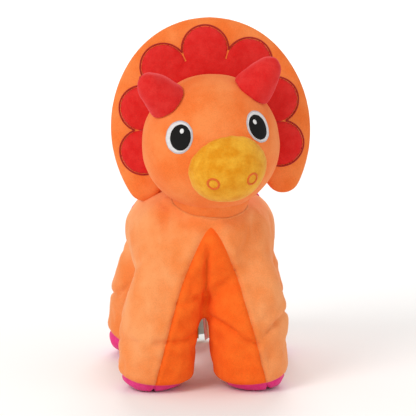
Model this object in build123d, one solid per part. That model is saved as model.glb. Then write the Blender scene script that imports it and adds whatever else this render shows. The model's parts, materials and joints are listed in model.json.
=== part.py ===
"""Stuffed toy dinosaur with a bonnet-shaped neck frill, two stub horns, four stuffed legs and a ribbon tail.

The toy stands on its soles on the floor (z = 0) and faces -Y.  +X is the toy's own left side, +Z is up.
Every sewn panel, every filling and every patch is a solid of its own, and parts that flex against
each other are kept apart by a running gap, with the socket of each soft joint cut from balls centred on
its axis.  All sizes are millimetres and degrees.
"""
import os
from math import cos, radians, sin, tan

from build123d import *

os.makedirs("parts", exist_ok=True)

# ---- cloth, patches and running gaps
CLOTH = 1.6            # pile fabric with its backing
PATCH = 0.9            # sewn-on patches, embroidery and ribbon
GAP = 0.4              # free space between parts that move on each other

# ---- where the toy's own axes sit in the model's frame (the middle of its outline on the floor)
ORIGIN = Vector(5.0, -6.5, 0)

# ---- torso: a rounded loaf, pitched so that the chest stands higher than the rump
TORSO_WIDTH, TORSO_LENGTH, TORSO_HEIGHT = 116, 166, 80
TORSO_CENTRE = Vector(0, 5, 90)
TORSO_PITCH = -3.5
TORSO_EDGE_R, TORSO_END_R = 36, 30

# ---- legs: leaning cones with a ball top, given by hip centre and sole centre of the left pair
HIPS = {"front": Vector(29, -49, 76), "rear": Vector(38, 54, 74)}
SOLES = {"front": Vector(38, -54, 0), "rear": Vector(43, 58, 0)}
LEG_TOP_R, LEG_FOOT_R = 27, 30.5
LEG_OVERRUN = 1.3                  # the cone is drawn this much too long, then cut off at the floor
FOOT_EDGE_R = 9
SOLE_HEIGHT = 7
LEG_SWING = 14
SWEEP_R, SWEEP_SPARE = 37, 3       # room kept free around a swinging leg
SWEEP_WIDE_R, SWEEP_WIDE_Z, SWEEP_LOW_Z = 70, (-40, -32), -100     # below the body it opens out

# ---- the fleece gusset's seams run from an apex on the body's middle down to the soles
GUSSET_APEX_Z = {"front": 123, "rear": 115}
GUSSET_FLOOR_HALF = {"front": 43, "rear": 48}
GUSSET_CUT_LENGTH = 150            # how far the cutting wedge reaches from the body's middle
BELLY_HALF = 30                    # the belly piece runs this far each way from the body's middle

# ---- head ball, its pose on the neck, and the neck's centre of motion
HEAD_R = 51
HEAD_CENTRE = Vector(6, -50, 187)
HEAD_YAW, HEAD_ROLL = 8.9, -5.9
NECK_PIVOT = Vector(6, -46, 150)
NECK_R = 30
NECK_RECESS_R, NECK_RECESS_Z = 36, 136.5
NECK_CUP_R, NECK_CORE_R = 12, 8
FACE_SEAM_Y = 29                   # face and back-of-head panels meet inside the frill

# ---- face
EYE_SIDE, EYE_LIFT = 37, 20.3      # angle from the head's middle plane, and above the horizon
EYE_W, EYE_H = 22.5, 24.5
PUPIL_W, PUPIL_H, PUPIL_SHIFT = 14.5, 16.5, 1.8
PUPIL_THICK, GLINT_THICK = 0.6, 0.4
GLINT_R, GLINT_AT = 2.1, (-3.2, 4)
SNOUT_CENTRE = Vector(0.5, -37, -10)
SNOUT_HALF = (31, 27, 27)
SNOUT_DROP = 9.7
NOSTRIL_X, NOSTRIL_Z = 3.75, -3
NOSTRIL_TURN, NOSTRIL_DROP = 27, 17
NOSTRIL_OUT_R, NOSTRIL_IN_R = 4.8, 3.2

# ---- horns: stub cones on the crown
HORN_AXIS = Vector(0.63, -0.27, 0.73).normalized()
HORN_BASE_R, HORN_TIP_R, HORN_LENGTH = 14.5, 7.9, 30
HORN_LIFT = 1.2                    # the cone starts this far above its pivot, so it can bend
HORN_BALL_R = 13.6

# ---- frill: a padded horseshoe around the back of the head, outline given for its left half
FRILL_YAW, FRILL_ROLL = -2.5, -3.8
FRILL_FRONT_Y, FRILL_THICK = 22, 14
FRILL_OUTLINE = [(0, 90.5), (56, 63), (75.5, 3), (64, -40), (42, -42)]      # joined by tangent arcs
FRILL_NOTCH = (31, -24)
FRILL_RIM_R = 5
PETAL_R = 16.5
PETAL_CENTRES = [(0, 67.7), (32, 56), (50, 25.5), (52, -7.5)]
PETAL_STITCH = 1.7
PETAL_RING, PETAL_LOW_Z = (50, 62), -20      # half-axes of the oval under the petals, and its lower end

# ---- ribbon tail, hung from the top of the rump's gusset seam
TAIL_PIVOT = Vector(0, 95.5, 96)
TAIL_ROOT_R, TAIL_ROOT_Z = 4, 103
TAIL_ROOT_Y = (80, 96)              # the tab is trimmed where it meets the rump
RIBBONS = ["cream", "pink", "blue", "lime", "mint", "peach"]
RIBBON_PITCH, RIBBON_WIDTH = 3.2, 10
RIBBON_END_Z = [3.0, 2.5, 4.5, 4.0, 6.0, 7.0]

# ---- spots on the back: (y along the body, angle above the horizontal, radius)
SPOTS = [(6, 48, 11), (34, 10, 13), (62, 52, 12)]

BOXES = []                         # bounding box of every sub-part written so far


def place(shape, name):
    """Moves a finished sub-part into the model's frame and writes its file."""
    shape = Pos(-ORIGIN.X, -ORIGIN.Y, -ORIGIN.Z) * shape
    solids = [s for s in shape.solids() if s.volume > 1.0]
    part = solids[0] if len(solids) == 1 else Compound(children=solids)
    export_step(part, f"parts/{name}.step")
    print(f"{name}: {len(solids)} solid(s), {sum(s.volume for s in solids):.0f} mm3")
    BOXES.append(part.bounding_box())


def ball(centre, radius):
    return Pos(*centre) * Sphere(radius)


def half_ball(radius, keep):
    return split(Sphere(radius), Plane.XY, keep=keep)


def slab(low_z, high_z, span=600):
    """Everything between two heights."""
    return Pos(0, 0, (low_z + high_z) / 2) * Box(span, span, high_z - low_z)


def side_block(x_sign, span=300):
    """Everything on one side of the body's middle plane."""
    return Pos(x_sign * span / 2, 0, span / 2) * Box(span, 2 * span, 2 * span)


def mirrored(point, x_sign):
    return Vector(point.X * x_sign, point.Y, point.Z)


def loaf(grow):
    """The torso's outer shape, grown outwards on every side."""
    block = Box(TORSO_WIDTH + 2 * grow, TORSO_LENGTH + 2 * grow, TORSO_HEIGHT + 2 * grow)
    block = fillet(block.edges().filter_by(Axis.Y), TORSO_EDGE_R + grow)
    block = fillet(block.faces().filter_by(Axis.Y).edges(), TORSO_END_R + grow)
    return Pos(*TORSO_CENTRE) * Rot(TORSO_PITCH, 0, 0) * block


def gusset_wedge(end):
    """The space between the two gusset seams at one end of the body."""
    half, apex = GUSSET_FLOOR_HALF[end], GUSSET_APEX_Z[end]
    outline = make_face(Polyline((0, apex), (half, 0), (-half, 0), (0, apex)))
    reach = GUSSET_CUT_LENGTH / 2
    middle = -reach if end == "front" else reach
    return Pos(0, middle, 0) * (Plane.XZ * extrude(outline, reach, both=True))


# ---------------------------------------------------------------- legs
def leg_frame(end, x_sign):
    """A plane at the hip whose +Z points from the sole up to the hip."""
    hip, sole = mirrored(HIPS[end], x_sign), mirrored(SOLES[end], x_sign)
    return Plane(origin=hip, z_dir=hip - sole)


def leg_column(end, x_sign, grow):
    """The leg below its hip plane, grown outwards, with a flat rounded foot."""
    frame = leg_frame(end, x_sign)
    length = (HIPS[end] - SOLES[end]).length
    low_r = LEG_TOP_R + (LEG_FOOT_R - LEG_TOP_R) * LEG_OVERRUN + grow
    cone = Cone(low_r, LEG_TOP_R + grow, length * LEG_OVERRUN, align=(Align.CENTER, Align.CENTER, Align.MAX))
    column = frame.location * cone - slab(-100, -grow)
    return fillet(column.edges().group_by(Axis.Z)[0], FOOT_EDGE_R + grow)


def leg_clearance(end, x_sign):
    """What the torso leaves free so that the leg can swing: the hip ball's socket and the swept cone."""
    rise = SWEEP_R * tan(radians(LEG_SWING + SWEEP_SPARE))
    wide_z, narrow_z = SWEEP_WIDE_Z
    outline = Polyline((0, SWEEP_LOW_Z), (SWEEP_WIDE_R, SWEEP_LOW_Z), (SWEEP_WIDE_R, wide_z),
                       (SWEEP_R, narrow_z), (SWEEP_R, rise), (0, 0), (0, SWEEP_LOW_Z))
    sweep = revolve(Plane.XZ * make_face(outline), Axis.Z)
    return leg_frame(end, x_sign).location * (sweep + Sphere(LEG_TOP_R + GAP))


def build_leg(end, x_sign, name):
    outer, core = leg_column(end, x_sign, 0), leg_column(end, x_sign, -CLOTH)
    shell = outer - core
    sleeve = shell & slab(SOLE_HEIGHT, 200)
    inner = sleeve & gusset_wedge(end)
    hip_ball = leg_frame(end, x_sign).location * half_ball(LEG_TOP_R, Keep.TOP)
    place(core + hip_ball, f"{name}_stuffing")
    place(shell & slab(-10, SOLE_HEIGHT), f"{name}_sole")
    place(inner, f"{name}_inner_panel")
    place(sleeve - inner, f"{name}_outer_panel")


# ---------------------------------------------------------------- torso
def build_torso():
    outer, core = loaf(0), loaf(-CLOTH)
    room = [leg_clearance(end, s) for end in HIPS for s in (1, -1)]
    room.append(ball(NECK_PIVOT, NECK_R + GAP))
    recess = Cylinder(NECK_RECESS_R, 60, align=(Align.CENTER, Align.CENTER, Align.MIN))
    room.append(Pos(NECK_PIVOT.X, NECK_PIVOT.Y, NECK_RECESS_Z) * recess)

    def trimmed(shape):
        for cutter in room:
            shape = shape - cutter
        return shape

    shell = trimmed(outer - core)
    place(trimmed(core), "torso_stuffing")
    wedges = {end: gusset_wedge(end) for end in HIPS}
    sides = shell - wedges["front"] - wedges["rear"]
    place(sides & side_block(1), "side_panel_left")
    place(sides & side_block(-1), "side_panel_right")
    belly_span = Pos(0, 0, 60) * Box(200, 2 * BELLY_HALF, 120)
    gusset = (shell & wedges["front"]) + (shell & wedges["rear"])
    place(gusset & belly_span, "belly_gusset")
    for name, y_sign in (("chest_gusset", -1), ("rump_gusset", 1)):
        place((gusset - belly_span) & (Pos(0, y_sign * 150, 0) * Box(300, 300, 400)), name)

    patch_layer = trimmed(loaf(PATCH) - outer)
    for x_sign, name in ((1, "spots_left"), (-1, "spots_right")):
        spots = []
        for y, lift, radius in SPOTS:
            out = Vector(x_sign * cos(radians(lift)), 0, sin(radians(lift)))
            stamp = Cylinder(radius, 90, align=(Align.CENTER, Align.CENTER, Align.MIN))
            spots.append(Plane(origin=(0, y, TORSO_CENTRE.Z), z_dir=out).location * stamp)
        place(patch_layer & (spots[0] + spots[1] + spots[2]), name)


# ---------------------------------------------------------------- head, in its own frame
HEAD_POSE = Pos(*HEAD_CENTRE) * Rot(0, 0, HEAD_YAW) * Rot(0, HEAD_ROLL, 0)
NECK_IN_HEAD = (HEAD_POSE.inverse() * Location(NECK_PIVOT)).position


def place_head(shape, name):
    place(HEAD_POSE * shape, name)


def on_ball(direction, face, low_r, high_r):
    """A flat outline pressed onto the head ball as a layer between two radii."""
    level = Vector(0, 0, 1).cross(direction).normalized()
    stamp = Plane(origin=(0, 0, 0), x_dir=level, z_dir=direction).location * extrude(face, 2 * HEAD_R)
    return (Sphere(high_r) - Sphere(low_r)) & stamp


def snout_body(grow):
    shape = scale(Sphere(1), by=tuple(h + grow for h in SNOUT_HALF))
    return Pos(*SNOUT_CENTRE) * Rot(SNOUT_DROP, 0, 0) * shape - Sphere(HEAD_R)


def horn_frame(x_sign):
    axis = mirrored(HORN_AXIS, x_sign)
    return Plane(origin=axis * HEAD_R, z_dir=axis).location


def horn_cone(grow):
    """The horn above its pivot, along +Z."""
    neck_z = HORN_LENGTH - HORN_TIP_R
    lift = HORN_LIFT - min(grow, 0)
    bottom = (Align.CENTER, Align.CENTER, Align.MIN)
    cone = Pos(0, 0, lift) * Cone(HORN_BASE_R + grow, HORN_TIP_R + grow, neck_z - lift, align=bottom)
    return cone + Pos(0, 0, neck_z) * Sphere(HORN_TIP_R + grow)


def build_head():
    sockets = [horn_frame(s) * Sphere(HORN_BALL_R + GAP) for s in (1, -1)]

    def open_for_horns(shape):
        return shape - sockets[0] - sockets[1]

    neck_out = ball(NECK_IN_HEAD, NECK_R)
    neck_in = ball(NECK_IN_HEAD, NECK_R - CLOTH)
    filling = Sphere(HEAD_R - CLOTH) + neck_in - ball(NECK_IN_HEAD, NECK_CUP_R + GAP)
    place_head(open_for_horns(filling), "head_stuffing")
    skin = open_for_horns(Sphere(HEAD_R) - Sphere(HEAD_R - CLOTH) - neck_out)
    front = Pos(0, FACE_SEAM_Y - 100, 0) * Box(300, 200, 300)
    place_head(skin & front, "face_panel")
    place_head(skin - front, "back_of_head_panel")
    place_head(neck_out - neck_in - Sphere(HEAD_R - CLOTH), "neck_sleeve")

    place_head(snout_body(-CLOTH), "snout_stuffing")
    place_head(snout_body(0) - snout_body(-CLOTH), "snout_cover")
    rings = []
    for x_sign in (1, -1):
        out = Vector(0, -1, 0).rotate(Axis.Z, x_sign * NOSTRIL_TURN).rotate(Axis.X, NOSTRIL_DROP)
        start = SNOUT_CENTRE + Vector(x_sign * NOSTRIL_X, 0, NOSTRIL_Z)
        ring = Circle(NOSTRIL_OUT_R) - Circle(NOSTRIL_IN_R)
        rings.append(Plane(origin=start, z_dir=out).location * extrude(ring, 60))
    place_head((snout_body(PATCH) - snout_body(0)) & (rings[0] + rings[1]), "nostril_rings")

    for x_sign, name in ((1, "left"), (-1, "right")):
        side, lift = radians(EYE_SIDE), radians(EYE_LIFT)
        out = Vector(x_sign * sin(side), -cos(side) * cos(lift), cos(side) * sin(lift))
        inward = Pos(-x_sign * PUPIL_SHIFT, 0, 0)
        white = on_ball(out, Ellipse(EYE_W / 2, EYE_H / 2), HEAD_R, HEAD_R + PATCH)
        pupil_r = HEAD_R + PATCH
        glint_r = pupil_r + PUPIL_THICK
        pupil = on_ball(out, inward * Ellipse(PUPIL_W / 2, PUPIL_H / 2), pupil_r, glint_r)
        spot = Pos(*GLINT_AT) * inward * Circle(GLINT_R)
        place_head(white, f"eye_white_{name}")
        place_head(pupil, f"pupil_{name}")
        place_head(on_ball(out, spot, glint_r, glint_r + GLINT_THICK), f"eye_glint_{name}")


def build_horns():
    for x_sign, name in ((1, "left"), (-1, "right")):
        lower = half_ball(HORN_BALL_R, Keep.BOTTOM)
        join = Cylinder(HORN_BASE_R - CLOTH, HORN_LIFT + CLOTH, align=(Align.CENTER, Align.CENTER, Align.MIN))
        filling = lower + join + horn_cone(-CLOTH)
        cover = horn_cone(0) - horn_cone(-CLOTH) - join
        place_head(horn_frame(x_sign) * filling, f"horn_{name}_stuffing")
        place_head(horn_frame(x_sign) * cover, f"horn_{name}_cover")


def build_neck_fillings():
    cup = half_ball(NECK_CUP_R, Keep.BOTTOM) - Sphere(NECK_CORE_R + GAP)
    place(Pos(*NECK_PIVOT) * cup, "neck_fibre_cup")
    place(ball(NECK_PIVOT, NECK_CORE_R), "neck_fibre_core")


# ---------------------------------------------------------------- frill
def frill_face(inset):
    """The frill's outline, drawn from the front with x to the toy's left."""
    half, tangent = [], (1, 0)
    for start, stop in zip(FRILL_OUTLINE, FRILL_OUTLINE[1:]):
        arc = TangentArc([start, stop], tangent=tangent)
        tangent = arc % 1
        half.append(arc.edge())
    half += Polyline(FRILL_OUTLINE[-1], FRILL_NOTCH, (0, FRILL_NOTCH[1])).edges()
    face = make_face(half + [edge.mirror(Plane.YZ) for edge in half])
    corners = (FRILL_OUTLINE[-1][0], FRILL_NOTCH[0])
    sharp = [v for v in face.vertices() if min(abs(abs(v.X) - x) for x in corners) < 0.01]
    face = fillet(sharp, FRILL_RIM_R)
    return offset(face, -inset) if inset else face


def place_frill(shape, name):
    place(Pos(*HEAD_CENTRE) * Rot(0, 0, FRILL_YAW) * Rot(0, FRILL_ROLL, 0) * shape, name)


def frill_slab(face, y_front, thick):
    """An outline made solid, from one depth behind the head's centre backwards."""
    return Pos(0, y_front, 0) * (Plane.XZ * extrude(face, -thick))


def frill_pad(inset):
    """The frill's padded shape, shrunk inwards on every side."""
    pad = frill_slab(frill_face(inset), FRILL_FRONT_Y + inset, FRILL_THICK - 2 * inset)
    return fillet(pad.faces().filter_by(Axis.Y).edges(), FRILL_RIM_R - inset)


def petal_outline(radius):
    """The scalloped ring of petals, each of the given radius, over the oval that joins them."""
    outline = Ellipse(*PETAL_RING)
    for x, z in PETAL_CENTRES + [(-x, z) for x, z in PETAL_CENTRES if x]:
        outline = outline + Pos(x, z) * Circle(radius)
    return outline - Pos(0, PETAL_LOW_Z - 60) * Rectangle(200, 120)


def build_frill():
    head_room = Sphere(HEAD_R + GAP)
    outer, core = frill_pad(0), frill_pad(CLOTH)
    shell = outer - core - head_room
    front = Pos(0, FRILL_FRONT_Y + FRILL_THICK / 2 - 100, 0) * Box(400, 200, 400)
    place_frill(core - head_room, "frill_batting")
    place_frill(shell & front, "frill_front_panel")
    place_frill(shell - front, "frill_back_panel")

    petals, wide = petal_outline(PETAL_R), petal_outline(PETAL_R + PETAL_STITCH)
    patch = frill_slab(petals, FRILL_FRONT_Y - PATCH, PATCH) - head_room
    stitch = frill_slab(wide - petals, FRILL_FRONT_Y - PATCH, PATCH) - head_room
    place_frill(patch, "frill_petal_patch")
    place_frill(stitch, "frill_petal_stitching")


# ---------------------------------------------------------------- tail
def build_tail():
    y_low, y_high = TAIL_ROOT_Y
    root = Rot(90, 0, 0) * Cylinder(TAIL_ROOT_R, y_high - y_low)
    place(Pos(0, (y_low + y_high) / 2, TAIL_ROOT_Z) * root - loaf(0), "tail_root_tab")
    top = TAIL_PIVOT.Z - 0.5
    for i, (colour, low) in enumerate(zip(RIBBONS, RIBBON_END_Z)):
        x = (len(RIBBONS) / 2 - 0.5 - i) * RIBBON_PITCH
        strip = Box(PATCH, RIBBON_WIDTH, top - low)
        place(Pos(x, TAIL_PIVOT.Y, (top + low) / 2) * strip, f"ribbon_{colour}")


build_torso()
for end_name in ("front", "rear"):
    for sign, side_name in ((1, "left"), (-1, "right")):
        build_leg(end_name, sign, f"{end_name}_{side_name}_leg")
build_neck_fillings()
build_head()
build_horns()
build_frill()
build_tail()

low = [min(getattr(b.min, k) for b in BOXES) for k in "XYZ"]
high = [max(getattr(b.max, k) for b in BOXES) for k in "XYZ"]
print("overall", [round(v, 2) for v in low], [round(v, 2) for v in high])
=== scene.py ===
import json
import math

import bmesh
import bpy
from mathutils import Matrix, Vector, noise
from mathutils.bvhtree import BVHTree


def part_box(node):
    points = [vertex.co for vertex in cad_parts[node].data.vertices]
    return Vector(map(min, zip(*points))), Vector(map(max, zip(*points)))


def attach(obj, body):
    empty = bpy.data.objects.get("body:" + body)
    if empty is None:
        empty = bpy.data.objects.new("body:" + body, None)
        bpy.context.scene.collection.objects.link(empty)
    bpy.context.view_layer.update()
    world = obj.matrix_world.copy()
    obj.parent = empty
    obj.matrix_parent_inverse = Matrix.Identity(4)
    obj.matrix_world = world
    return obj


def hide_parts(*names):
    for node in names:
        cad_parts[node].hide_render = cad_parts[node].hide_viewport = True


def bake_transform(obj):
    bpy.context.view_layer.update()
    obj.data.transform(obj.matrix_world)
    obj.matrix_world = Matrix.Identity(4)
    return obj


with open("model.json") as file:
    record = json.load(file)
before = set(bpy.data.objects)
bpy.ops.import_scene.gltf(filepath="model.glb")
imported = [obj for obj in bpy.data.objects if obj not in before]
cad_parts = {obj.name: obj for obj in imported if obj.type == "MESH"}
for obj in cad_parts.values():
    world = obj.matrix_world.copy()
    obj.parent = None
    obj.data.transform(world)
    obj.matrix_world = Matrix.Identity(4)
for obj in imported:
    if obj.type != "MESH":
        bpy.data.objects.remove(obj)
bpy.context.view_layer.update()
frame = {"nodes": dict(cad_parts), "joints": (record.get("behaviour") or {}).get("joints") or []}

# ---------------------------------------------------------------------------------------------
# Studio.  A pale seamless floor and large soft lights, with a long lens looking slightly down
# on the toy from a little to its right.
# ---------------------------------------------------------------------------------------------
MM = 0.001


def linear(hex_colour):
    """An sRGB hex colour as a linear RGBA tuple."""
    parts = [int(hex_colour[i:i + 2], 16) / 255 for i in (1, 3, 5)]
    return tuple(c / 12.92 if c <= 0.04045 else ((c + 0.055) / 1.055) ** 2.4 for c in parts) + (1.0,)


def add_node(tree, kind, settings=None, links=None):
    """Adds a shader node, sets its sockets or properties, and links other outputs into it."""
    node = tree.nodes.new(kind)
    for key, value in (settings or {}).items():
        if key in node.inputs:
            node.inputs[key].default_value = value
        else:
            setattr(node, key, value)
    for key, output in (links or {}).items():
        tree.links.new(output, node.inputs[key])
    return node


def new_material(name, shader):
    """A material with one Principled shader, set from the given sockets."""
    material = bpy.data.materials.new(name)
    material.use_nodes = True
    tree = material.node_tree
    tree.nodes.clear()
    surface = add_node(tree, "ShaderNodeBsdfPrincipled", shader)
    output = tree.nodes.new("ShaderNodeOutputMaterial")
    tree.links.new(surface.outputs[0], output.inputs["Surface"])
    return material, tree, surface


def new_object(name, mesh, *materials):
    piece = bpy.data.objects.new(name, mesh)
    bpy.context.scene.collection.objects.link(piece)
    for material in materials:
        mesh.materials.append(material)
    return piece


def mesh_from(bm, name):
    mesh = bpy.data.meshes.new(name)
    bm.to_mesh(mesh)
    bm.free()
    mesh.polygons.foreach_set("use_smooth", [True] * len(mesh.polygons))
    return mesh


joints = {joint["name"]: joint for joint in frame["joints"]}
neck = Vector(joints["head_turn"]["pos_m"])

FIELD = 312 * MM
DISTANCE = 2.0
AZIMUTH, ELEVATION = math.radians(-2.5), math.radians(10.5)
target = neck + Vector((-2.3, -4, -13)) * MM
sight = Vector((math.sin(AZIMUTH) * math.cos(ELEVATION), -math.cos(AZIMUTH) * math.cos(ELEVATION),
                math.sin(ELEVATION)))
camera_data = bpy.data.cameras.new("camera")
camera_data.sensor_width = 36
camera_data.lens = camera_data.sensor_width * DISTANCE / FIELD
camera_data.clip_end = 20
camera = bpy.data.objects.new("camera", camera_data)
camera.location = target + sight * DISTANCE
camera.rotation_euler = (-sight).to_track_quat("-Z", "Y").to_euler()
bpy.context.scene.collection.objects.link(camera)
bpy.context.scene.camera = camera

bm = bmesh.new()
bmesh.ops.create_grid(bm, x_segments=2, y_segments=2, size=4)
paper, _, _ = new_material("matte_paper_white", {"Base Color": linear("#f7f6f4"), "Roughness": 0.95})
floor = new_object("floor", mesh_from(bm, "floor"), paper)


def softbox(name, place, size, power):
    light = bpy.data.lights.new(name, "AREA")
    light.shape, light.size, light.energy = "DISK", size, power
    lamp = bpy.data.objects.new(name, light)
    lamp.location = place
    lamp.rotation_euler = (Vector(place) - neck).to_track_quat("Z", "Y").to_euler()
    bpy.context.scene.collection.objects.link(lamp)


softbox("key_light", (-1.5, -1.6, 1.8), 1.3, 28)
softbox("fill_light", (1.9, -1.3, 0.9), 1.8, 4)
softbox("back_light", (0.2, 2.7, 2.0), 1.8, 44)
world = bpy.data.worlds.new("white_room")
world.use_nodes = True
world.node_tree.nodes["Background"].inputs["Color"].default_value = (1, 1, 1, 1)
world.node_tree.nodes["Background"].inputs["Strength"].default_value = 0.68
bpy.context.scene.world = world
bpy.context.scene.view_settings.view_transform = "Standard"

# ---------------------------------------------------------------------------------------------
# Body cover.  Side panels of short-pile polyester velour and a gusset of brushed fleece, sewn
# inside out, turned and stuffed; a magenta velour sole closes each leg.
# ---------------------------------------------------------------------------------------------


def pile_fabric(name, base, light, nap_mm, pile_mm, pile_depth, sheen, tint, roughness=0.82):
    """Velour or fleece: brushed patches of nap in the colour, a fine pile in the bump with painted shade and
    highlight on it, sheen at the rim.
    """
    material, tree, surface = new_material(name, {
        "Roughness": roughness, "Sheen Weight": sheen, "Sheen Roughness": 0.45, "Sheen Tint": linear(tint),
        "Specular IOR Level": 0.15})
    place = add_node(tree, "ShaderNodeTexCoord").outputs["Object"]
    nap = add_node(tree, "ShaderNodeTexNoise", {"Scale": 1 / (nap_mm * MM), "Detail": 3.0, "Roughness": 0.6},
                   {"Vector": place})
    patches = add_node(tree, "ShaderNodeMapRange", {"From Min": 0.36, "From Max": 0.66},
                       {"Value": nap.outputs[0]})
    tone = add_node(tree, "ShaderNodeMix", {"data_type": "RGBA"})
    tone.inputs[6].default_value, tone.inputs[7].default_value = linear(base), linear(light)
    tree.links.new(patches.outputs[0], tone.inputs[0])
    pile = add_node(tree, "ShaderNodeTexNoise", {"Scale": 1 / (pile_mm * MM), "Detail": 2.0},
                    {"Vector": place})
    # The pile's hollows are painted darker and its tips lighter, in step with the bump: painted shade and
    # painted highlight.
    shade = add_node(tree, "ShaderNodeMapRange",
                     {"From Min": 0.3, "From Max": 0.7, "To Min": 0.93, "To Max": 1.05},
                     {"Value": pile.outputs[0]})
    pile_shaded = add_node(tree, "ShaderNodeVectorMath", {"operation": "SCALE"}, {"Scale": shade.outputs[0]})
    tree.links.new(tone.outputs[2], pile_shaded.inputs[0])
    tree.links.new(pile_shaded.outputs[0], surface.inputs["Base Color"])
    bump = add_node(tree, "ShaderNodeBump", {"Strength": 0.5, "Distance": pile_depth * MM},
                    {"Height": pile.outputs[0]})
    tree.links.new(bump.outputs[0], surface.inputs["Normal"])
    return material


# The real pile is a third of a millimetre across; it is drawn about three times as coarse, to show.
orange_velour = pile_fabric("polyester_velour_orange", "#ef742f", "#f48a48", 24, 0.9, 0.22, 0.3, "#ffcfa0")
# The side and outer leg panels are the same orange velour, painted paler as a lit copy: painted sheen from
# the light that falls on them.
side_velour_painted_sheen = pile_fabric("polyester_velour_orange_sides_painted_sheen", "#ef8440", "#f49d60", 34, 0.9, 0.22, 0.35,
                          "#ffd8b0")
orange_fleece = pile_fabric("brushed_fleece_orange", "#f4631a", "#f86f22", 11, 0.9, 0.2, 0.04,
                            "#ffb070", 0.95)
magenta_velour = pile_fabric("polyester_velour_magenta", "#e0307c", "#e6448a", 9, 0.9, 0.25, 0.25, "#ffb8dc")

chest_low, chest_high = (Vector(c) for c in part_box("torso_stuffing"))
MIDDLE_X = (chest_low.x + chest_high.x) / 2
TORSO_MIDDLE = Vector((MIDDLE_X, (chest_low.y + chest_high.y) / 2, 101.5 * MM))
TORSO_HALF = Vector((58.5, 85, 45.5)) * MM
LEG_HALF = {"front": Vector((28.7, 29.5, 54)) * MM, "rear": Vector((28.8, 30.5, 50)) * MM}
LEG_SLIM = {"front": 0.0, "rear": 0.1}      # share of its width that a leg loses towards the hip
HIP_PULL = 0.88                    # how far a leg's top follows its hip sideways
FRONT_LEAN = 2 * MM                # the front legs' tops lean to the toy's left by this much
LEGS = [(end, side) for end in ("front", "rear") for side in ("left", "right")]


def rounded_lump(bm, centre, half, squareness, above=None):
    """A ball pulled towards a rounded box, as stuffing fills a sewn tube.

    squareness is a power for x, y and z, below 1 for squarer; above is the upper half's own power for z.
    """
    made = bmesh.ops.create_uvsphere(bm, u_segments=64, v_segments=40, radius=1)["verts"]
    for v in made:
        x, y, z = squareness
        powers = (x, y, above if above and v.co.z > 0 else z)
        v.co = Vector([math.copysign(abs(c) ** p, c) * h for c, h, p in zip(v.co, half, powers)]) + centre
    return made


def applied(piece):
    """Turns the piece's modifiers into mesh."""
    view = bpy.context.evaluated_depsgraph_get()
    old = piece.data
    piece.data = bpy.data.meshes.new_from_object(piece.evaluated_get(view))
    piece.modifiers.clear()
    bpy.data.meshes.remove(old)
    return piece


def remeshed(piece, voxel, rounds):
    """One skin over everything in the piece, with its creases rounded."""
    skin = piece.modifiers.new("skin", "REMESH")
    skin.mode, skin.voxel_size, skin.use_smooth_shade = "VOXEL", voxel, True
    smooth = piece.modifiers.new("smooth", "SMOOTH")
    smooth.factor, smooth.iterations = 0.6, rounds
    return applied(piece)


def puffed(piece, pinned, pressure, cap):
    """Blows the cover out with its seams held, as stuffing does, and keeps each point within cap."""
    rest = [v.co.copy() for v in piece.data.vertices]
    group = piece.vertex_groups.new(name="seams")
    for index, weight in enumerate(pinned):
        if weight > 0.02:
            group.add([index], weight, "REPLACE")
    cloth = piece.modifiers.new("cloth", "CLOTH")
    cloth.settings.quality = 4
    cloth.settings.use_pressure = True
    cloth.settings.uniform_pressure_force = pressure
    cloth.settings.effector_weights.gravity = 0
    cloth.settings.vertex_group_mass = "seams"
    cloth.settings.tension_stiffness = 12
    cloth.settings.bending_stiffness = 0.4
    cloth.settings.shrink_min = -0.03
    cloth.point_cache.frame_start, cloth.point_cache.frame_end = 1, 16
    for step in range(1, 17):
        bpy.context.scene.frame_set(step)
    applied(piece)
    for v, start in zip(piece.data.vertices, rest):
        move = v.co - start
        v.co = start + move * min(1, cap / max(move.length, 1e-9))
    piece.vertex_groups.clear()
    bpy.context.scene.frame_set(1)
    return piece


def smoothstep(low, high, value):
    t = min(1, max(0, (value - low) / (high - low)))
    return t * t * (3 - 2 * t)


bm = bmesh.new()
RUMP_FALL, RUMP_TAPER = 0.061, 0.09      # the back slopes down, and narrows, from the chest to the rump
for v in rounded_lump(bm, TORSO_MIDDLE, TORSO_HALF, (0.92, 0.8, 0.88)):
    v.co.z -= (v.co.y - TORSO_MIDDLE.y) * RUMP_FALL
    v.co.x = MIDDLE_X + (v.co.x - MIDDLE_X) * (1 - RUMP_TAPER * smoothstep(0, 70 * MM, v.co.y))
sole_middle = {}
for end, side in LEGS:
    low, high = (Vector(c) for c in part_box(f"{end}_{side}_leg_sole"))
    sole_middle[end, side] = (low + high) / 2
    hip = Vector(joints[f"{end}_{side}_leg_swing"]["pos_m"])
    half = LEG_HALF[end]
    foot = Vector((sole_middle[end, side].x, sole_middle[end, side].y, half.z))
    leg = rounded_lump(bm, foot, half, (0.9, 0.9, 0.22), above=0.85)
    top_shift = hip - foot
    lean = FRONT_LEAN if end == "front" else 0
    for v in leg:
        rise = min(1.2, v.co.z / hip.z)
        slim = 1 - LEG_SLIM[end] * smoothstep(22 * MM, 70 * MM, v.co.z)
        v.co.x = foot.x + (v.co.x - foot.x) * slim + top_shift.x * rise * HIP_PULL
        v.co.x += lean * smoothstep(30 * MM, 95 * MM, v.co.z)
        v.co.y += top_shift.y * rise
body = new_object("body_form", mesh_from(bm, "body_form"))
remeshed(body, 3.6 * MM, 9)

# The gusset's middle, the height of its apex, and its half-width at the floor
GUSSET = {"front": (5 * MM, 127 * MM, 43.5 * MM), "rear": (0, 118 * MM, 47 * MM)}


def gusset_seam(x, y):
    """Height of the seam between side panel and gusset, over a point of the plan."""
    x -= MIDDLE_X
    t = smoothstep(-45 * MM, 45 * MM, y)
    middle, apex, half = (a + (b - a) * t for a, b in zip(GUSSET["front"], GUSSET["rear"]))
    return apex * (1 - (abs(x - middle) / half) ** 1.5)


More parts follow.
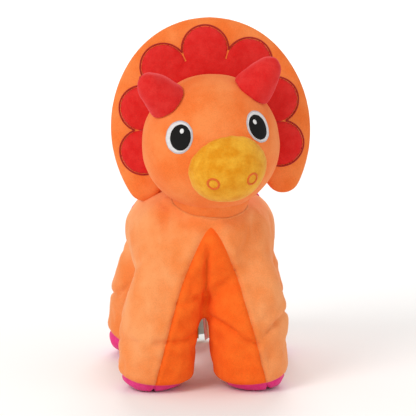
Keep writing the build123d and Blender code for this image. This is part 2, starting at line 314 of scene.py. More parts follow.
def sole_seam(x, y):
    """Height of the seam round each sole, which climbs towards the outside of the foot."""
    climb = 7 * MM if y < 0 else 12 * MM
    return 5 * MM + climb * max(0, (abs(x - MIDDLE_X) - 20 * MM) / (46 * MM)) ** 2


def seam_distance(v):
    """How far a point is from the nearest of the two seams, roughly."""
    gusset = abs(v.z - gusset_seam(v.x, v.y)) * 0.5
    if abs(v.y) < 20 * MM:
        gusset *= 2
    return min(gusset, abs(v.z - sole_seam(v.x, v.y)))


pins = []
for v in body.data.vertices:
    hold = 1 - smoothstep(1 * MM, 5 * MM, seam_distance(v.co))
    ground = 1 - smoothstep(0.5 * MM, 3 * MM, v.co.z)
    pins.append(max(hold, ground))
puffed(body, pins, 2.5, 3 * MM)

finer = body.modifiers.new("finer", "SUBSURF")
finer.levels = finer.render_levels = 1
applied(body)

head_middle = Vector(joints["frill_flex"]["pos_m"])
HEAD_R = 51 * MM
NECK_R = 30 * MM
SEAT_GAP = 0.25 * MM

# Creases pressed into the stuffed legs: (height, slope across, low x, high x, end, depth), all in millimetres
CREASES = [
    (41, 0.26, -38, -6, "front", 3.0), (72, 0.20, -22, -1, "front", 1.6), (47, -0.40, 6, 40, "front", 3.2),
    (52, 0.55, 46, 66, "front", 2.2), (40, 0.05, -66, -46, "front", 1.2), (52, 0.9, -75, -58, "rear", 2.4),
    (48, -0.7, 55, 76, "rear", 2.4),
]


def crease_depth(x, y, z):
    """How far the creases draw the cover in at a point, in metres, with a little bulge beside each."""
    total = 0
    x -= MIDDLE_X
    for height, slope, low_x, high_x, end, depth in CREASES:
        if (end == "front") != (y < 0):
            continue
        fade = smoothstep(low_x - 5, low_x + 4, x / MM) * (1 - smoothstep(high_x - 4, high_x + 5, x / MM))
        middle = (low_x + high_x) / 2
        away = z / MM - (height + slope * (x / MM - middle) + 2.2 * math.sin(x / MM * 0.13))
        groove = math.exp(-(away / 2.0) ** 2)
        swell = math.exp(-((abs(away) - 6.5) / 4.5) ** 2)
        total += fade * depth * (groove - 0.35 * swell)
    return total * MM


def cut_across(bm, faces, point, normal):
    """Splits the given faces where they cross a plane."""
    verts = {v for f in faces for v in f.verts}
    edges = {e for f in faces for e in f.edges}
    bmesh.ops.bisect_plane(bm, geom=list(verts) + list(edges) + faces, dist=1e-6, plane_co=point,
                           plane_no=normal)


bm = bmesh.new()
bm.from_mesh(body.data)
for height in (gusset_seam, sole_seam):
    for v in bm.verts:
        v.co.z -= height(v.co.x, v.co.y)
    near = [f for f in bm.faces if height is gusset_seam or f.calc_center_median().z < 12 * MM]
    cut_across(bm, near, (0, 0, 0), (0, 0, 1))
    for v in bm.verts:
        v.co.z += height(v.co.x, v.co.y)
cloth_layer = bm.faces.layers.int.new("cloth")
CLOTHS = ("outer", "inner", "sole")
for face in bm.faces:
    x, y, z = face.calc_center_median()
    if z < sole_seam(x, y) and z < 30 * MM:
        face[cloth_layer] = 2
    else:
        face[cloth_layer] = 1 if z < gusset_seam(x, y) else 0
bm.normal_update()
rest_normal = {v: v.normal.copy() for v in bm.verts}
for v, normal in rest_normal.items():
    x, y, z = v.co
    draw = 1.3 * MM * math.exp(-(seam_distance(v.co) / (1.3 * MM)) ** 2)
    draw -= 0.9 * MM * math.exp(-((seam_distance(v.co) - 6 * MM) / (4 * MM)) ** 2)
    lean = FRONT_LEAN * min(1, z / (100 * MM))
    if y < -45 * MM:
        cleft = math.exp(-((x - MIDDLE_X - lean - 0.8 * MM * math.sin(z / MM * 0.12)) / (2.4 * MM)) ** 2)
        draw += 6.5 * MM * cleft * smoothstep(60 * MM, 78 * MM, z) * (1 - smoothstep(100 * MM, 122 * MM, z))
    draw += crease_depth(x, y, z)
    lumps = noise.noise(v.co * 38) * 1.1 + noise.noise(v.co * 95) * 0.4
    v.co += normal * (lumps * MM * smoothstep(2 * MM, 14 * MM, z) - draw)
    for middle, radius in ((head_middle, HEAD_R), (neck, NECK_R)):
        out = v.co - middle
        if out.length < radius + SEAT_GAP:
            v.co = middle + out.normalized() * (radius + SEAT_GAP)
    v.co.z = max(v.co.z, 0.15 * MM)

SPLIT = {"front": (Vector((0, -13.5, 50)) * MM, Vector((0, -0.419, -0.908))),
         "rear": (Vector((0, 29, 50)) * MM, Vector((0, 0.381, -0.925)))}
LEG_MIDDLE = {"front": MIDDLE_X + 3 * MM, "rear": MIDDLE_X}
for end, (point, normal) in SPLIT.items():
    half = [f for f in bm.faces if (f.calc_center_median().y < 8 * MM) == (end == "front")]
    cut_across(bm, half, point, normal)
    half = [f for f in bm.faces if (f.calc_center_median() - point).dot(normal) > 0
            and (f.calc_center_median().y < 8 * MM) == (end == "front")]
    cut_across(bm, half, (LEG_MIDDLE[end], 0, 0), (1, 0, 0))
top = [f for f in bm.faces if f.calc_center_median().z > 60 * MM]
cut_across(bm, top, (MIDDLE_X, 0, 0), (1, 0, 0))
bm.normal_update()
body_tree = BVHTree.FromBMesh(bm)
whole_normal = bm.verts.layers.float_vector.new("whole_normal")
piece_number = bm.faces.layers.int.new("piece")
for v in bm.verts:
    v[whole_normal] = v.normal


def zone(face):
    """Which sewn piece a face of the body belongs to."""
    c = face.calc_center_median()
    end = "front" if c.y < 8 * MM else "rear"
    point, normal = SPLIT[end]
    on_leg = (c - point).dot(normal) > 0
    cloth = CLOTHS[face[cloth_layer]]
    if on_leg or cloth == "sole":
        return f"{end}_{'left' if c.x > LEG_MIDDLE[end] else 'right'}", cloth
    if cloth == "inner":
        return "torso", "gusset"
    return "torso", "left" if c.x > MIDDLE_X else "right"


zones = []
for face in bm.faces:
    name = zone(face)
    if name not in zones:
        zones.append(name)
    face[piece_number] = zones.index(name)
CLOTH_OF = {"outer": ("velour_orange", side_velour_painted_sheen), "left": ("velour_orange", side_velour_painted_sheen),
            "right": ("velour_orange", side_velour_painted_sheen), "inner": ("fleece_orange", orange_fleece),
            "gusset": ("fleece_orange", orange_fleece), "sole": ("velour_magenta", magenta_velour)}
NODES_OF = {("torso", "left"): ["side_panel_left"],
            ("torso", "right"): ["side_panel_right", "torso_stuffing"],
            ("torso", "gusset"): ["belly_gusset", "chest_gusset", "rump_gusset"]}
for end, side in LEGS:
    leg = f"{end}_{side}"
    NODES_OF[leg, "outer"] = [f"{leg}_leg_outer_panel", f"{leg}_leg_stuffing"]
    NODES_OF[leg, "inner"] = [f"{leg}_leg_inner_panel"]
    NODES_OF[leg, "sole"] = [f"{leg}_leg_sole"]


def cut_out(number, name, material):
    """The faces of the body with this number as a piece of their own, shaded as part of the whole."""
    part = bm.copy()
    others = [f for f in part.faces if f[part.faces.layers.int["piece"]] != number]
    bmesh.ops.delete(part, geom=others, context="FACES")
    whole = part.verts.layers.float_vector["whole_normal"]
    normals = [Vector(v[whole]) for v in part.verts]
    part.verts.layers.float_vector.remove(whole)
    mesh = mesh_from(part, name)
    mesh.normals_split_custom_set_from_vertices(normals)
    return new_object(name, mesh, material)


for number, (part, cloth) in enumerate(zones):
    slot, material = CLOTH_OF[cloth]
    piece = cut_out(number, f"{part}_cover_{cloth}", material)
    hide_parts(*NODES_OF[part, cloth])
    if part == "torso":
        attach(piece, "torso")
    else:
        point, normal = SPLIT[part.split("_")[0]]
        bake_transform(piece)
bm.free()
bpy.data.objects.remove(body)

# ---------------------------------------------------------------------------------------------
# Head cover.  A face panel and a back panel of the orange velour over a firmly stuffed ball,
# drawn in to a short neck that is ladder-stitched into the body.
# ---------------------------------------------------------------------------------------------


def standing_pose(centre, side_axis):
    """A frame at centre, with x along side_axis, y level and z up."""
    back_axis = Vector((0, 0, 1)).cross(side_axis).normalized()
    crown_axis = side_axis.cross(back_axis)
    return Matrix.Translation(centre) @ Matrix((side_axis, back_axis, crown_axis)).transposed().to_4x4()


horn_feet = [Vector(joints[f"horn_{side}_bend"]["pos_m"]) for side in ("left", "right")]
head_pose = standing_pose(head_middle, (horn_feet[0] - horn_feet[1]).normalized())
crown_axis = head_pose.to_3x3() @ Vector((0, 0, 1))
FACE_SEAM = 29 * MM

bm = bmesh.new()
bmesh.ops.create_icosphere(bm, subdivisions=7, radius=HEAD_R)
for v in bm.verts:
    out = v.co.normalized()
    cheeks = 1.0 * MM * math.exp(-((v.co.z + 18 * MM) / (22 * MM)) ** 2)
    lumps = noise.noise(v.co * 34) * 0.9 + noise.noise(v.co * 90) * 0.35
    seam = 1.2 * MM * math.exp(-((v.co.y - FACE_SEAM) / (1.4 * MM)) ** 2)
    if v.co.y > FACE_SEAM:
        seam += 1.2 * MM * math.exp(-(v.co.x / (1.4 * MM)) ** 2)
    v.co += out * (lumps * MM + cheeks - seam)
bm.transform(head_pose)
head_tree = BVHTree.FromBMesh(bm)
head_mesh = mesh_from(bm, "head_cover")
head_cover = new_object("head_cover", head_mesh, orange_velour)
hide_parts("head_stuffing", "face_panel", "back_of_head_panel")
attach(head_cover, "head")

bm = bmesh.new()
bmesh.ops.create_icosphere(bm, subdivisions=5, radius=NECK_R)
bmesh.ops.translate(bm, vec=neck, verts=bm.verts)
neck_cover = new_object("neck_cover", mesh_from(bm, "neck_cover"), orange_velour)
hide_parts("neck_sleeve")
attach(neck_cover, "head")

fibre, tree, surface = new_material("hollow_polyester_fibre", {"Roughness": 0.9, "Sheen Weight": 0.4})
place = add_node(tree, "ShaderNodeTexCoord").outputs["Object"]
strands = add_node(tree, "ShaderNodeTexNoise", {"Scale": 900.0, "Detail": 4.0}, {"Vector": place})
tone = add_node(tree, "ShaderNodeValToRGB", links={"Fac": strands.outputs[0]})
tone.color_ramp.elements[0].color, tone.color_ramp.elements[1].color = linear("#d8d5cc"), linear("#fbfaf6")
tree.links.new(tone.outputs[0], surface.inputs["Base Color"])
for node in ("neck_fibre_cup", "neck_fibre_core"):
    wad = frame["nodes"][node]
    wad.data.materials.clear()
    wad.data.materials.append(fibre)

# ---------------------------------------------------------------------------------------------
# Snout.  A dome of golden velour sewn over a wad of fibre on the face, with two nostril rings
# in orange satin stitch.
# ---------------------------------------------------------------------------------------------
golden_velour = pile_fabric("polyester_velour_golden", "#de8d0e", "#ecab2e", 9, 1.1, 0.6, 0.45, "#ffe9a0")


WAVE_SPAN = 0.314        # metres between the bands of a wave texture at scale 1


def satin_thread(name, colour, spacing_mm, axis, roughness=0.42):
    """Satin stitch: glossy parallel threads with painted shade in the grooves between them, drawn at twice
    their real width so that they show.
    """
    material, tree, surface = new_material(name, {"Roughness": roughness, "Specular IOR Level": 0.25})
    place = add_node(tree, "ShaderNodeTexCoord").outputs["Object"]
    threads = add_node(tree, "ShaderNodeTexWave",
                       {"Scale": WAVE_SPAN / (spacing_mm * MM), "Distortion": 1.2, "Detail": 2.0,
                        "bands_direction": axis}, {"Vector": place})
    # The grooves between threads are painted darker in step with the bump: painted shade.
    groove_shade = tuple(c * 0.72 for c in linear(colour)[:3]) + (1,)
    tone = add_node(tree, "ShaderNodeValToRGB", links={"Fac": threads.outputs["Fac"]})
    tone.color_ramp.elements[0].color, tone.color_ramp.elements[1].color = groove_shade, linear(colour)
    tree.links.new(tone.outputs[0], surface.inputs["Base Color"])
    bump = add_node(tree, "ShaderNodeBump", {"Strength": 0.6, "Distance": 0.3 * MM},
                    {"Height": threads.outputs["Fac"]})
    tree.links.new(bump.outputs[0], surface.inputs["Normal"])
    return material


SNOUT_MIDDLE = Vector((2.0, -37, -11.5)) * MM
SNOUT_HALF = Vector((30.3, 27.5, 27.5)) * MM
SNOUT_DROP = math.radians(9.7)
snout_pose = head_pose @ Matrix.Translation(SNOUT_MIDDLE) @ Matrix.Rotation(SNOUT_DROP, 4, "X")
bm = bmesh.new()
snout = bmesh.ops.create_icosphere(bm, subdivisions=6, radius=1)["verts"]
for v in snout:
    v.co = Vector([c * h for c, h in zip(v.co, SNOUT_HALF)])
bm.transform(snout_pose)
bm.normal_update()
for v, normal in [(v, v.normal.copy()) for v in bm.verts]:
    clear = (v.co - head_middle).length - HEAD_R
    pucker = noise.noise(v.co * 260) * 0.5 * MM * math.exp(-(clear / (5 * MM)) ** 2)
    seam = 1.1 * MM * math.exp(-(clear / (1.6 * MM)) ** 2)
    v.co += normal * (noise.noise(v.co * 60) * 0.6 * MM + pucker - seam)
inside = [v for v in bm.verts if (v.co - head_middle).length < HEAD_R - 4 * MM]
bmesh.ops.delete(bm, geom=inside, context="VERTS")
rim = [e for e in bm.edges if e.is_boundary]
bmesh.ops.holes_fill(bm, edges=rim)
snout_tree = BVHTree.FromBMesh(bm)
snout_cover = new_object("snout_dome", mesh_from(bm, "snout_dome"), golden_velour)
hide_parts("snout_cover", "snout_stuffing")
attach(snout_cover, "head")


def pressed_on(verts, tree, pose, out):
    """Lays flat work on a surface: x and z stay, and y becomes the height over the surface."""
    for v in verts:
        start = pose @ Vector((v.co.x, 0, v.co.z))
        hit, normal, _, _ = tree.ray_cast(start + out * 80 * MM, -out)
        v.co = hit + normal * v.co.y


def facing_pose(centre, out, up):
    """A frame with its -y along out and its z as near to up as it can be."""
    z = (up - out * up.dot(out)).normalized()
    x = (-out).cross(z).normalized()
    return Matrix.Translation(centre) @ Matrix((x, -out, z)).transposed().to_4x4()


def stitched_ring(bm, middle_r, half_width, height):
    """A raised ring of satin stitch, flat in x and z, its edge jagged by the turns of the thread."""
    before = set(bm.verts)
    round_wire = bmesh.ops.create_circle(bm, segments=10, radius=1)["verts"]
    for v in round_wire:
        v.co = Vector((middle_r + v.co.x * half_width, v.co.y * height, 0))
    edges = {e for v in round_wire for e in v.link_edges}
    bmesh.ops.spin(bm, geom=round_wire + list(edges), cent=(0, 0, 0), axis=(0, 1, 0), dvec=(0, 0, 0),
                   angle=math.tau, steps=72, use_merge=True, use_duplicate=False)
    made = [v for v in bm.verts if v not in before]
    for v in made:
        jag = 1 + 0.02 * math.sin(math.atan2(v.co.z, v.co.x) * 31)
        v.co = Vector((v.co.x * jag, v.co.y, v.co.z * jag))
    return made


NOSTRIL_SIDE, NOSTRIL_TURN, NOSTRIL_DROP = 3.8 * MM, 25, 14
orange_thread = satin_thread("rayon_thread_orange", "#f2701c", 0.8, "X")
bm = bmesh.new()
for side in (1, -1):
    turn = Matrix.Rotation(math.radians(side * NOSTRIL_TURN), 3, "Z")
    drop = Matrix.Rotation(math.radians(NOSTRIL_DROP), 3, "X")
    out = (head_pose.to_3x3() @ (drop @ (turn @ Vector((0, -1, 0))))).normalized()
    centre = head_pose @ (SNOUT_MIDDLE + Vector((side * NOSTRIL_SIDE, 0, -3 * MM)))
    ring = stitched_ring(bm, 4.2 * MM, 0.85 * MM, 0.7 * MM)
    pressed_on(ring, snout_tree, facing_pose(centre, out, crown_axis), out)
bmesh.ops.recalc_face_normals(bm, faces=bm.faces)
nostrils = new_object("nostril_stitching", mesh_from(bm, "nostril_stitching"), orange_thread)
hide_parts("nostril_rings")
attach(nostrils, "head")

# ---------------------------------------------------------------------------------------------
# Eyes.  Each is drawn as four heaps of satin stitch: a grey edge that is painted shade round the white, a
# white oval, a near-black pupil set towards the nose, and a small light glint.
# ---------------------------------------------------------------------------------------------
white_thread = satin_thread("rayon_thread_white", "#efecec", 0.9, "Z", 0.5)
# The grey edge thread is painted shade where the white stitches fall away to the cloth round each eye.
painted_shade_grey_thread = satin_thread("rayon_thread_grey_painted_shade", "#cfcacf", 0.9, "X", 0.5)
black_thread = satin_thread("rayon_thread_black", "#0d0a09", 0.8, "Z", 0.8)
glint_thread = satin_thread("rayon_thread_glint", "#f8f7f5", 0.8, "Z", 0.4)


def embroidered_oval(name, material, pose, out, half_x, half_z, base, height, shift=(0, 0)):
    """A low heap of stitches over an oval, its edge standing on the cloth."""
    bm = bmesh.new()
    heap = bmesh.ops.create_uvsphere(bm, u_segments=72, v_segments=24, radius=1)["verts"]
    for v in heap:
        x, z, up = v.co
        around = math.atan2(z, x)
        jag = 1 + 0.006 * math.sin(around * 61)
        lift = base + height * max(0, up) ** 0.4 if up > 0 else base - 0.6 * MM * abs(up)
        v.co = Vector((x * half_x * jag + shift[0], lift, z * half_z * jag + shift[1]))
    pressed_on(heap, head_tree, pose, out)
    bmesh.ops.recalc_face_normals(bm, faces=bm.faces)
    return new_object(name, mesh_from(bm, name), material)


EYE_SIDE, EYE_LIFT = {"left": math.radians(35.2), "right": math.radians(36.6)}, math.radians(19.8)
EYE_HALF = Vector((11.25, 12.25)) * MM
PUPIL_HALF = Vector((8.2, 9.4)) * MM
GLINT_AT = {"right": Vector((1.6, 4.0)) * MM, "left": Vector((-2.3, 3.8)) * MM}
for sign, side in ((1, "left"), (-1, "right")):
    aside = EYE_SIDE[side]
    local = Vector((sign * math.sin(aside), -math.cos(aside) * math.cos(EYE_LIFT),
                    math.cos(aside) * math.sin(EYE_LIFT)))
    out = (head_pose.to_3x3() @ local).normalized()
    pose = facing_pose(head_middle, out, crown_axis)
    inward = -sign * 1.8 * MM
    eye = embroidered_oval(f"eye_{side}_edge", painted_shade_grey_thread, pose, out, EYE_HALF.x, EYE_HALF.y, 0.0, 0.7 * MM)
    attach(eye, "head")
    eye = embroidered_oval(f"eye_{side}_white", white_thread, pose, out, EYE_HALF.x - 1.0 * MM,
                           EYE_HALF.y - 1.0 * MM, 0.35 * MM, 0.9 * MM)
    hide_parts(f"eye_white_{side}")
    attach(eye, "head")
    eye = embroidered_oval(f"eye_{side}_pupil", black_thread, pose, out, PUPIL_HALF.x, PUPIL_HALF.y, 0.9 * MM,
                           1.0 * MM, (inward, -0.4 * MM))
    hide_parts(f"pupil_{side}")
    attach(eye, "head")
    glint = GLINT_AT[side]
    eye = embroidered_oval(f"eye_{side}_glint", glint_thread, pose, out, 1.5 * MM, 1.8 * MM, 1.6 * MM,
                           0.8 * MM, (inward + glint.x, glint.y))
    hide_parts(f"eye_glint_{side}")
    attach(eye, "head")

# ---------------------------------------------------------------------------------------------
# Horns.  Two stub cones of red velour, stuffed and stitched round their foot to the crown.
# ---------------------------------------------------------------------------------------------
red_velour = pile_fabric("polyester_velour_red", "#d61f1c", "#dd2f2a", 7, 0.9, 0.3, 0.35, "#ff9aa0")
HORN_PROFILE = [(15.4, -3.0), (15.2, 1.0), (14.6, 5.0), (13.0, 12.0), (11.2, 18.5), (9.0, 24.0), (5.6, 28.0),
                (2.0, 29.8), (0, 30)]      # radius and height over the crown, in millimetres
for sign, side in ((1, "left"), (-1, "right")):
    base = Vector(joints[f"horn_{side}_bend"]["pos_m"])
    out = (base - head_middle).normalized()
    turn = out.to_track_quat("Z", "Y").to_matrix().to_4x4()
    bm = bmesh.new()
    line = [bm.verts.new((radius * MM, 0, height * MM)) for radius, height in HORN_PROFILE]
    edges = [bm.edges.new(pair) for pair in zip(line, line[1:])]
    bmesh.ops.spin(bm, geom=line + edges, cent=(0, 0, 0), axis=(0, 0, 1), dvec=(0, 0, 0), angle=math.tau,
                   steps=40, use_merge=True, use_duplicate=False)
    bmesh.ops.remove_doubles(bm, verts=bm.verts, dist=1e-6)
    bmesh.ops.holes_fill(bm, edges=[e for e in bm.edges if e.is_boundary])
    bmesh.ops.recalc_face_normals(bm, faces=bm.faces)
    bmesh.ops.transform(bm, matrix=Matrix.Translation(base) @ turn, verts=bm.verts)
    horn = new_object(f"horn_{side}_cone", mesh_from(bm, f"horn_{side}_cone"), red_velour)
    finer = horn.modifiers.new("finer", "SUBSURF")
    finer.levels = finer.render_levels = 2
    applied(horn)
    for v in horn.data.vertices:
        v.co += v.normal * (noise.noise(v.co * 120) * 0.7 * MM)
    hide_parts(f"horn_{side}_cover", f"horn_{side}_stuffing")
    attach(horn, f"horn_{side}")

# ---------------------------------------------------------------------------------------------
# Frill.  A padded horseshoe of orange velour sewn round the back of the head, front and back
# panels joined at the rim over a layer of batting.
# ---------------------------------------------------------------------------------------------
bm = bmesh.new()
for node in ("frill_batting", "frill_front_panel", "frill_back_panel"):
    bm.from_mesh(frame["nodes"][node].data)
bmesh.ops.remove_doubles(bm, verts=bm.verts, dist=1e-6)
frill = new_object("frill_pad", mesh_from(bm, "frill_pad"), orange_velour)
remeshed(frill, 1.9 * MM, 6)
frill.data.materials.clear()
frill.data.materials.append(orange_velour)
frill_pose = standing_pose(head_middle, Vector(joints["frill_flex"]["axis"]).normalized())
frill_back = frill_pose.to_3x3() @ Vector((0, 1, 0))
to_frill = frill_pose.inverted()
FRILL_MIDDLE = 29 * MM             # the rim seam's depth behind the head's centre
outline_tree = BVHTree.FromObject(frill, bpy.context.evaluated_depsgraph_get())


def rim_distance(local):
    """Rough distance from a point of the frill to its outer rim, measured from the head's centre outwards."""
    ray = Vector((local.x, 0, local.z)).normalized()
    world_ray = (frill_pose.to_3x3() @ ray).normalized()
    far = frill_pose @ Vector((0, FRILL_MIDDLE, 0)) + world_ray * 130 * MM
    hit = outline_tree.ray_cast(far, -world_ray)[0]
    if hit is None:
        return 0
    shade_edge = to_frill @ hit
    return math.hypot(shade_edge.x, shade_edge.z) - math.hypot(local.x, local.z)


for v in frill.data.vertices:
    local = to_frill @ v.co
    depth = max(0, rim_distance(local))
    crown = 1 - (1 - min(1, depth / (20 * MM))) ** 2
    side = local.y - FRILL_MIDDLE
    swell = (0.45 + 0.62 * crown) if abs(side) > 0.5 * MM else 1
    wave = noise.noise(local * 26) * 1.7 + noise.noise(local * 70) * 0.5
    local.y = FRILL_MIDDLE + side * swell + wave * MM
    near = Vector((local.x, local.z)).length
    reach = math.sqrt(max(0, (HEAD_R + 0.2 * MM) ** 2 - local.y ** 2))
    if near < reach:
        local.x, local.z = local.x * reach / near, local.z * reach / near
    v.co = frill_pose @ local
frill.data.update()
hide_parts("frill_batting", "frill_front_panel", "frill_back_panel")
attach(frill, "frill")
frill_tree = BVHTree.FromObject(frill, bpy.context.evaluated_depsgraph_get())

# ---------------------------------------------------------------------------------------------
# Petals.  One ring of red velour cut in seven scallops, laid on the frill's front and edged
# with a cord of satin stitch just outside it.
# ---------------------------------------------------------------------------------------------
PETAL_R = 16.6 * MM
LEFT_PETALS = [(52, -7.5), (50, 25.5), (32, 56)]       # centres on the toy's left, in millimetres
PETALS = [Vector((-x, z)) * MM for x, z in LEFT_PETALS] + [Vector((0, 67.7)) * MM]
PETALS += [Vector((x, z)) * MM for x, z in reversed(LEFT_PETALS)]
front_pose = facing_pose(head_middle, -frill_back, frill_pose.to_3x3() @ Vector((0, 0, 1)))


def petal_field(x, z):
    """Below nought inside the scalloped ring, in metres."""
    point = Vector((x, z))
    discs = min((point - p).length for p in PETALS) - PETAL_R
    ring = (math.hypot(x / 50, z / 62) - MM) * 55
    inner = max(ring, -z - 16 * MM)
    return min(discs, inner)


bm = bmesh.new()
bmesh.ops.create_grid(bm, x_segments=150, y_segments=130, size=1)
for v in bm.verts:
    v.co = Vector((v.co.x * 72 * MM, v.co.y * 56 * MM + 31 * MM, 0))
STEP = 0.3 * MM
for v in bm.verts:
    value = petal_field(v.co.x, v.co.y)
    if abs(value) < 0.8 * MM:
        slope = Vector((petal_field(v.co.x + STEP, v.co.y) - petal_field(v.co.x - STEP, v.co.y),
                        petal_field(v.co.x, v.co.y + STEP) - petal_field(v.co.x, v.co.y - STEP)))
        if slope.length > 1e-9:
            move = slope.normalized() * value
            v.co.x, v.co.y = v.co.x - move.x, v.co.y - move.y
outside = [f for f in bm.faces if petal_field(*f.calc_center_median().xy) > 0.05 * MM
           or f.calc_center_median().xy.length < 43 * MM]
bmesh.ops.delete(bm, geom=outside, context="FACES")
loose = [v for v in bm.verts if not v.link_faces]
bmesh.ops.delete(bm, geom=loose, context="VERTS")
flat = [(v, v.co.x, v.co.y) for v in bm.verts]
for v, x, z in flat:
    puff = 1.5 * MM * (1 - math.exp(min(0, petal_field(x, z)) / (2.2 * MM)))
    v.co = Vector((x, 0.15 * MM + puff, z))
lost = []
for v in bm.verts:
    start = front_pose @ Vector((v.co.x, 0, v.co.z))
    hit, normal, _, _ = frill_tree.ray_cast(start - frill_back * 40 * MM, frill_back)
    if hit is None:
        lost.append(v)
    else:
        v.co = hit + normal * v.co.y
bmesh.ops.delete(bm, geom=lost, context="VERTS")
bmesh.ops.recalc_face_normals(bm, faces=bm.faces)
petals = new_object("petal_ring", mesh_from(bm, "petal_ring"), red_velour)
if petals.data.polygons[0].normal.dot(frill_back) > 0:
    petals.data.flip_normals()
thick = petals.modifiers.new("thick", "SOLIDIFY")
thick.thickness, thick.offset = 0.6 * MM, -1
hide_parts("frill_petal_patch")
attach(petals, "frill")

EDGE_OUT = 0.95 * MM
THREAD_R = 0.62 * MM
deep_red_thread = satin_thread("rayon_thread_deep_red", "#b9201a", 0.7, "X")
runs = []
for number, middle in enumerate(PETALS):
    run = []
    for step in range(241):
        angle = math.tau * step / 240 - math.radians(90)
        x = middle.x + math.cos(angle) * (PETAL_R + EDGE_OUT)
        z = middle.y + math.sin(angle) * (PETAL_R + EDGE_OUT)
        shown = petal_field(x, z) > EDGE_OUT - 0.05 * MM and math.hypot(x, z) > 45 * MM
        if shown:
            run.append((x, z))
        elif run:
            runs.append(run)
            run = []
    if run:
        runs.append(run)
bm = bmesh.new()
for run in runs:
    if len(run) < 4:
        continue
    centre_line = []
    for x, z in run:
        start = front_pose @ Vector((x, 0, z))
        hit, normal, _, _ = frill_tree.ray_cast(start - frill_back * 40 * MM, frill_back)
        if hit is not None:
            centre_line.append((hit + normal * 0.25 * MM, normal))
    rings = []
    for index, (point, normal) in enumerate(centre_line):
        before = centre_line[max(0, index - 1)][0]
        after = centre_line[min(len(centre_line) - 1, index + 1)][0]
        along = (after - before).normalized()
        across = along.cross(normal).normalized()
        ring = bmesh.ops.create_circle(bm, segments=8, radius=THREAD_R)["verts"]
        for v in ring:
            x, y = v.co.x, v.co.y
            v.co = point + across * x + normal * y * 0.8
        rings.append(ring)
    for low, high in zip(rings, rings[1:]):
        edges = {e for r in (low, high) for v in r for e in v.link_edges if all(w in r for w in e.verts)}
        bmesh.ops.bridge_loops(bm, edges=list(edges))
bmesh.ops.holes_fill(bm, edges=[e for e in bm.edges if e.is_boundary])
bmesh.ops.recalc_face_normals(bm, faces=bm.faces)
edging = new_object("petal_edging", mesh_from(bm, "petal_edging"), deep_red_thread)
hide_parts("frill_petal_stitching")
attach(edging, "frill")

# ---------------------------------------------------------------------------------------------
# Spots.  Rounds of magenta velour appliquéd to the back and flanks.
# ---------------------------------------------------------------------------------------------
SPOTS = [(13, 48, 11), (41, 12, 14), (68, 50, 12)]      # place along the body, lift in degrees, radius
for sign, side in ((1, "left"), (-1, "right")):
    bm = bmesh.new()
    for along, lift, radius in SPOTS:
        angle = math.radians(lift)
        out = Vector((sign * math.cos(angle), 0, math.sin(angle)))
        pose = facing_pose(Vector((MIDDLE_X, along * MM, TORSO_MIDDLE.z)), out, Vector((0, 1, 0)))
        disc = bmesh.ops.create_uvsphere(bm, u_segments=64, v_segments=24, radius=1)["verts"]
        for v in disc:
            x, z, up = v.co
            height = 1.1 * MM * max(0, up) ** 0.45 if up > 0 else -0.5 * MM * abs(up)
            v.co = Vector((x * radius * MM, height, z * radius * MM))
            start = pose @ Vector((v.co.x, 0, v.co.z))
            hit, normal, _, _ = body_tree.ray_cast(start + out * 120 * MM, -out)
            v.co = hit + normal * v.co.y
    bmesh.ops.recalc_face_normals(bm, faces=bm.faces)
    spots = new_object(f"body_spots_{side}", mesh_from(bm, f"body_spots_{side}"), magenta_velour)
    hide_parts(f"spots_{side}")
    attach(spots, "torso")

# ---------------------------------------------------------------------------------------------
# Tail.  Six loose lengths of satin and grosgrain ribbon held by a tab sewn into the rump seam.
# ---------------------------------------------------------------------------------------------
RIBBON_COLOURS = {"cream": "#f0e6c0", "pink": "#e98a7c", "blue": "#bcd6dc", "lime": "#bcc234",
                  "mint": "#6fb9a4", "peach": "#f0b894"}
RIBBON_THICK = 0.45 * MM
RIB_SPACING = 1.1 * MM
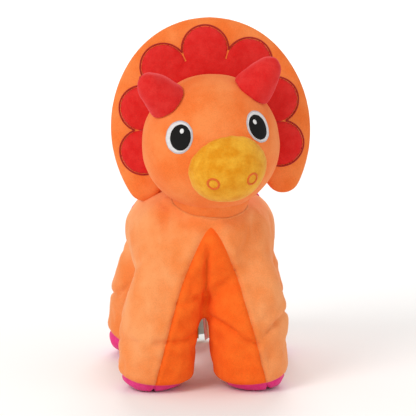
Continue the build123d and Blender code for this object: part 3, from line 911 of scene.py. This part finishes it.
# For each ribbon, its turn at the top and at the end in degrees, then its end's drift across and back in mm
RIBBON_HANG = {"cream": (86, 30, 6.0, 3), "pink": (88, 70, 3.5, -4), "blue": (90, 30, 2.0, 4),
               "lime": (92, 115, 1.0, -3), "mint": (94, 140, -1.0, 4), "peach": (96, 60, -3.5, -3)}
for order, (colour, code) in enumerate(RIBBON_COLOURS.items()):
    woven, tree, surface = new_material(f"woven_polyester_ribbon_{colour}",
                                        {"Roughness": 0.38, "Sheen Weight": 0.3})
    place = add_node(tree, "ShaderNodeTexCoord").outputs["Object"]
    ribs = add_node(tree, "ShaderNodeTexWave",
                    {"Scale": WAVE_SPAN / RIB_SPACING, "bands_direction": "Z", "Distortion": 0.6},
                    {"Vector": place})
    # The grooves between the ribs are painted darker in step with the bump: painted shade.
    groove_shade = tuple(c * 0.8 for c in linear(code)[:3]) + (1,)
    tone = add_node(tree, "ShaderNodeValToRGB", links={"Fac": ribs.outputs["Fac"]})
    tone.color_ramp.elements[0].color, tone.color_ramp.elements[1].color = groove_shade, linear(code)
    tree.links.new(tone.outputs[0], surface.inputs["Base Color"])
    bump = add_node(tree, "ShaderNodeBump", {"Strength": 0.4, "Distance": 0.2 * MM},
                    {"Height": ribs.outputs["Fac"]})
    tree.links.new(bump.outputs[0], surface.inputs["Normal"])

    low, high = (Vector(c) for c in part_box(f"ribbon_{colour}"))
    width, length = round(high.y - low.y, 4), high.z - low.z
    turn_top, turn_end, drift_x, drift_y = RIBBON_HANG[colour]
    bm = bmesh.new()
    bmesh.ops.create_grid(bm, x_segments=6, y_segments=60, size=0.5)
    for v in bm.verts:
        across, down = v.co.x * width, 0.5 - v.co.y
        angle = math.radians(turn_top + (turn_end - turn_top) * down)
        sway = math.sin(down * 5.5 + order * 1.3) * 1.3 * down
        x = (low.x + high.x) / 2 + (drift_x * down ** 2 + sway * 0.6) * MM
        y = (low.y + high.y) / 2 + (drift_y * down ** 2 + sway) * MM
        cup = (v.co.x * 2) ** 2 * 0.5 * MM
        v.co = Vector((x + math.cos(angle) * across + math.sin(angle) * cup,
                       y + math.sin(angle) * across - math.cos(angle) * cup, high.z - down * length))
    ribbon = new_object(f"tail_ribbon_{colour}", mesh_from(bm, f"tail_ribbon_{colour}"), woven)
    thick = ribbon.modifiers.new("thick", "SOLIDIFY")
    thick.thickness, thick.offset = RIBBON_THICK, 0
    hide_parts(f"ribbon_{colour}")
    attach(ribbon, "tail")

low, high = (Vector(c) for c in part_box("tail_root_tab"))
bm = bmesh.new()
rounded_lump(bm, (low + high) / 2 + Vector((0, -1, -2)) * MM, Vector((8.5, 5.5, 6.5)) * MM, (0.6, 0.8, 0.8))
tab = new_object("tail_tab", mesh_from(bm, "tail_tab"), orange_fleece)
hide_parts("tail_root_tab")
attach(tab, "torso")
